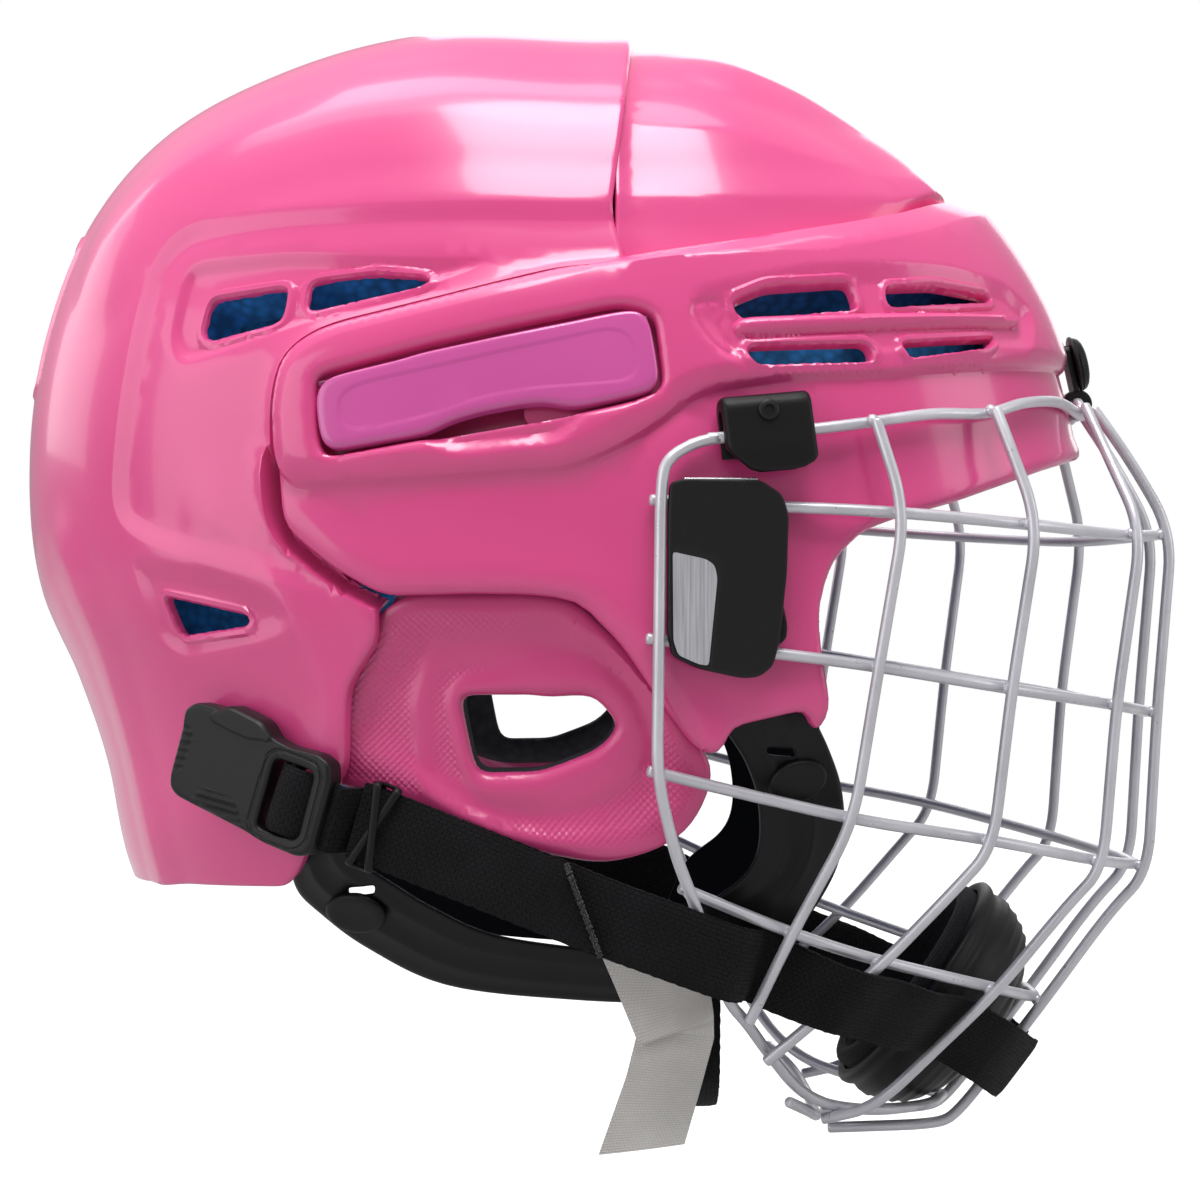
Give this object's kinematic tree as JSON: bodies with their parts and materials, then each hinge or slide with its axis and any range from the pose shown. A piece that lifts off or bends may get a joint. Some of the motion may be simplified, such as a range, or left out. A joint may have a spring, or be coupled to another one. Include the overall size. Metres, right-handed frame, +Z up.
{
  "type": "hockey helmet with cage",
  "caption": "Two-piece hockey helmet with foam liner, ear guards, size levers and ear loops, and a wire cage with a chin cup that flips up on its brow hinge.",
  "frame": {"origin": "middle of the head opening at ear-hole level, on the helmet's mid-plane", "axes": "+Z up, -Y the way the face looks, -X the wearer's right"},
  "size_m": [0.1964, 0.2611, 0.2516],
  "materials": {
    "shell": "glossy pink moulded plastic",
    "lever": "glossy mauve moulded plastic",
    "foam": "matt closed-cell foam",
    "pad": "knit-faced comfort foam",
    "screws": "plain steel",
    "black_plastic": "satin black moulded plastic",
    "rubber": "matt black rubber",
    "webbing": "woven nylon webbing",
    "label": "white woven tape",
    "wire": "satin silver-coated steel wire"
  },
  "bodies": {
    "shell": {"front_shell": "shell", "front_liner": "foam", "brow_pad": "pad", "crown_pad": "pad", "temple_pad_right": "pad", "temple_pad_left": "pad", "ear_guard_right": "shell", "ear_guard_left": "shell", "lever_pins": "screws", "front_loop_right": "black_plastic", "front_loop_left": "black_plastic", "front_loop_buttons": "black_plastic", "chin_strap": "webbing", "care_label": "label", "side_clip_right": "black_plastic", "side_clip_left": "black_plastic", "clip_screws": "screws", "forehead_clip": "black_plastic", "forehead_bumper": "rubber"},
    "rear": {"rear_shell": "shell", "rear_liner": "foam", "occipital_pad": "pad", "rear_loop_right": "black_plastic", "rear_loop_left": "black_plastic", "rear_loop_buttons": "black_plastic", "strap_posts": "screws", "strap_buckle_right": "black_plastic", "strap_buckle_left": "black_plastic"},
    "lever_right": {"size_lever_right": "lever"},
    "lever_left": {"size_lever_left": "lever"},
    "cage": {"cage_rim": "wire", "cage_bar_1": "wire", "cage_bar_2": "wire", "cage_bar_3": "wire", "cage_bar_4": "wire", "chin_bar": "wire", "upright_1_right": "wire", "upright_2_right": "wire", "upright_3_right": "wire", "upright_4_right": "wire", "upright_1_left": "wire", "upright_2_left": "wire", "upright_3_left": "wire", "upright_4_left": "wire", "side_plate_right": "black_plastic", "side_plate_left": "black_plastic", "chin_cup": "black_plastic", "chin_cup_pad": "pad", "cage_strap_right": "webbing", "cage_strap_left": "webbing", "strap_keeper_right": "rubber", "strap_keeper_left": "rubber"}
  },
  "joints": [
    {"name": "cage_flip", "type": "hinge", "parent": "shell", "child": "cage", "pos_m": [0, -0.1205, 0.0778], "axis": [-1, 0, 0], "range_deg": [0, 95]},
    {"name": "size_adjust", "type": "slide", "parent": "shell", "child": "rear", "axis": [0, 1, 0], "range_m": [0, 0.015]},
    {"name": "lever_right_open", "type": "hinge", "parent": "shell", "child": "lever_right", "pos_m": [-0.08718, 0.01425, 0.08405], "axis": [0.0014, 0.9806, -0.1961], "range_deg": [0, 75]},
    {"name": "lever_left_open", "type": "hinge", "parent": "shell", "child": "lever_left", "pos_m": [0.08718, 0.01425, 0.08405], "axis": [0.0014, -0.9806, 0.1961], "range_deg": [0, 75]}
  ]
}
